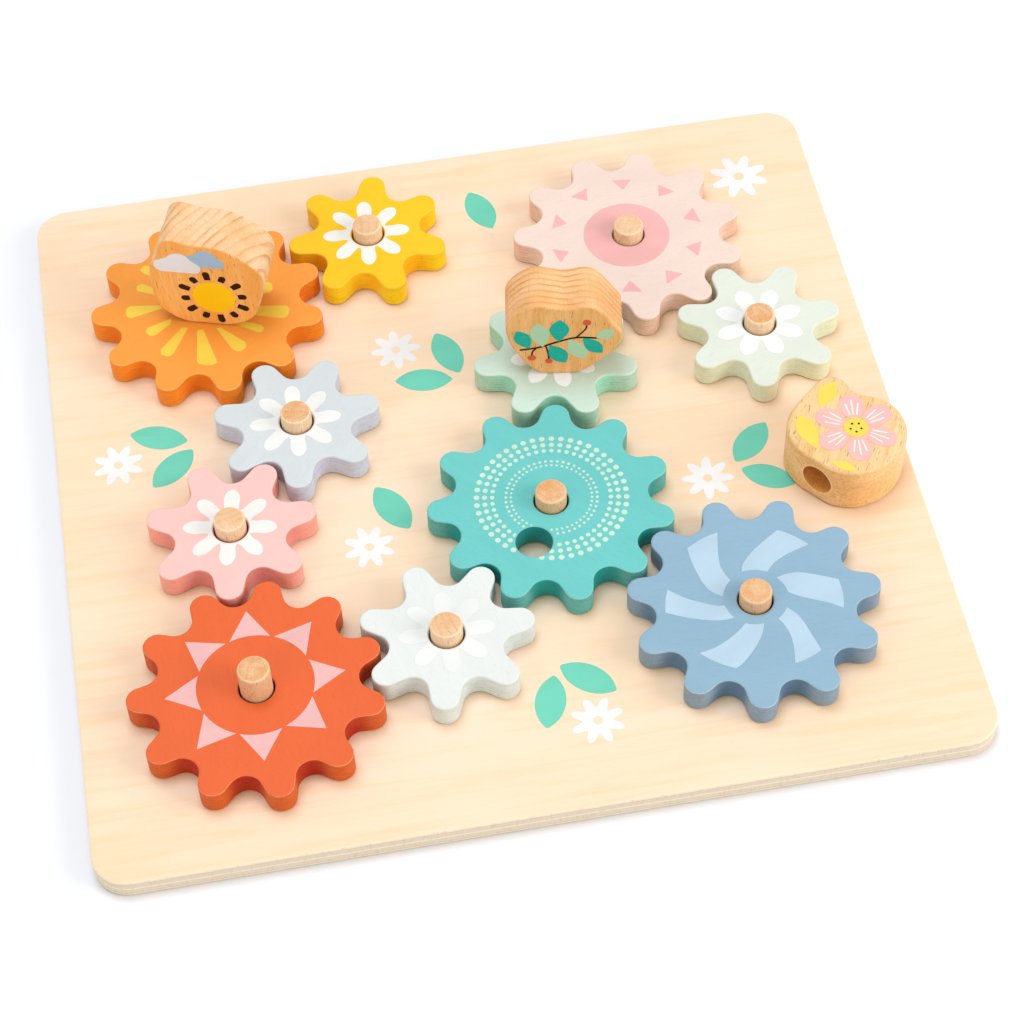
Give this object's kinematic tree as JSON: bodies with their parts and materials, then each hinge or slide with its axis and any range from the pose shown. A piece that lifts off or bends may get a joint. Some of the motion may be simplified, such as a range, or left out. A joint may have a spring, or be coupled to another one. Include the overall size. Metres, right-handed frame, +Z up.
{
  "type": "crank gear toy",
  "caption": "Square plywood board whose pegs carry meshing painted gears, turned by a finger hole, with picture blocks that stand on tall pegs.",
  "frame": {"origin": "centre of the board's underside, on the table", "axes": "+Z up out of the board, -Y towards the side the printed faces look at, +X to the right seen from there"},
  "size_m": [0.3, 0.3, 0.0614],
  "materials": {
    "birch_plywood": "satin clear lacquer",
    "beech": "smooth sanded, oiled",
    "yellow_paint": "satin water-based paint on plywood",
    "orange_paint": "satin water-based paint on plywood",
    "ice_blue_paint": "satin water-based paint on plywood",
    "pink_paint": "satin water-based paint on plywood",
    "red_paint": "satin water-based paint on plywood",
    "white_paint": "satin water-based paint on plywood",
    "teal_paint": "satin water-based paint on plywood",
    "blue_paint": "satin water-based paint on plywood",
    "mint_paint": "satin water-based paint on plywood",
    "peach_paint": "satin water-based paint on plywood",
    "pale_green_paint": "satin water-based paint on plywood"
  },
  "bodies": {
    "base": {"baseboard": "birch_plywood", "yellow_gear_peg": "beech", "orange_gear_peg": "beech", "ice_blue_gear_peg": "beech", "pink_gear_peg": "beech", "red_gear_peg": "beech", "white_gear_peg": "beech", "teal_gear_peg": "beech", "blue_gear_peg": "beech", "mint_gear_peg": "beech", "peach_gear_peg": "beech", "pale_green_gear_peg": "beech"},
    "yellow_gear_body": {"yellow_gear": "yellow_paint"},
    "orange_gear_body": {"orange_gear": "orange_paint"},
    "ice_blue_gear_body": {"ice_blue_gear": "ice_blue_paint"},
    "pink_gear_body": {"pink_gear": "pink_paint"},
    "red_gear_body": {"red_gear": "red_paint"},
    "white_gear_body": {"white_gear": "white_paint"},
    "teal_gear_body": {"teal_gear": "teal_paint"},
    "blue_gear_body": {"blue_gear": "blue_paint"},
    "mint_gear_body": {"mint_gear": "mint_paint"},
    "peach_gear_body": {"peach_gear": "peach_paint"},
    "pale_green_gear_body": {"pale_green_gear": "pale_green_paint"},
    "sun_block_body": {"sun_block": "beech"},
    "sprig_block_body": {"sprig_block": "beech"},
    "flower_block_body": {"flower_block": "beech"}
  },
  "joints": [
    {"name": "teal_gear_spin", "type": "hinge", "parent": "base", "child": "teal_gear_body", "pos_m": [0.01994, -0.03214, 0.0177], "axis": [0, 0, 1], "continuous": true},
    {"name": "red_gear_spin", "type": "hinge", "parent": "base", "child": "red_gear_body", "pos_m": [-0.08985, -0.09011, 0.0177], "axis": [0, 0, 1], "continuous": true},
    {"name": "blue_gear_spin", "type": "hinge", "parent": "base", "child": "blue_gear_body", "pos_m": [0.07982, -0.08685, 0.0177], "axis": [0, 0, 1], "continuous": true},
    {"name": "orange_gear_spin", "type": "hinge", "parent": "base", "child": "orange_gear_body", "pos_m": [-0.08833, 0.08257, 0.0177], "axis": [0, 0, 1], "continuous": true},
    {"name": "peach_gear_spin", "type": "hinge", "parent": "base", "child": "peach_gear_body", "pos_m": [0.0716, 0.08675, 0.0177], "axis": [0, 0, 1], "continuous": true},
    {"name": "yellow_gear_spin", "type": "hinge", "parent": "base", "child": "yellow_gear_body", "pos_m": [-0.02498, 0.10623, 0.0177], "axis": [0, 0, 1], "continuous": true},
    {"name": "white_gear_spin", "type": "hinge", "parent": "base", "child": "white_gear_body", "pos_m": [-0.02462, -0.08066, 0.0177], "axis": [0, 0, 1], "continuous": true},
    {"name": "pink_gear_spin", "type": "hinge", "parent": "base", "child": "pink_gear_body", "pos_m": [-0.09118, -0.02279, 0.0177], "axis": [0, 0, 1], "continuous": true},
    {"name": "ice_blue_gear_spin", "type": "hinge", "parent": "base", "child": "ice_blue_gear_body", "pos_m": [-0.06281, 0.02038, 0.0177], "axis": [0, 0, 1], "continuous": true},
    {"name": "mint_gear_spin", "type": "hinge", "parent": "base", "child": "mint_gear_body", "pos_m": [0.03388, 0.03371, 0.0177], "axis": [0, 0, 1], "continuous": true},
    {"name": "pale_green_gear_spin", "type": "hinge", "parent": "base", "child": "pale_green_gear_body", "pos_m": [0.10975, 0.03375, 0.0177], "axis": [0, 0, 1], "continuous": true},
    {"name": "sun_block_lift", "type": "slide", "parent": "orange_gear_body", "child": "sun_block_body", "axis": [0, 0, 1], "range_m": [0, 0.03]},
    {"name": "sprig_block_lift", "type": "slide", "parent": "mint_gear_body", "child": "sprig_block_body", "axis": [0, 0, 1], "range_m": [0, 0.03]},
    {"name": "flower_block_lift", "type": "slide", "parent": "base", "child": "flower_block_body", "axis": [0, 0, 1], "range_m": [0, 0.04]}
  ],
  "couplings": [
    {"joint": "red_gear_spin", "follows": "teal_gear_spin", "ratio": 1},
    {"joint": "blue_gear_spin", "follows": "teal_gear_spin", "ratio": -1},
    {"joint": "orange_gear_spin", "follows": "teal_gear_spin", "ratio": -1},
    {"joint": "peach_gear_spin", "follows": "teal_gear_spin", "ratio": 1},
    {"joint": "yellow_gear_spin", "follows": "teal_gear_spin", "ratio": 1.5714},
    {"joint": "white_gear_spin", "follows": "teal_gear_spin", "ratio": -1.5714},
    {"joint": "pink_gear_spin", "follows": "teal_gear_spin", "ratio": -1.5714},
    {"joint": "ice_blue_gear_spin", "follows": "teal_gear_spin", "ratio": 1.5714},
    {"joint": "mint_gear_spin", "follows": "teal_gear_spin", "ratio": -1.5714},
    {"joint": "pale_green_gear_spin", "follows": "teal_gear_spin", "ratio": -1.5714}
  ]
}
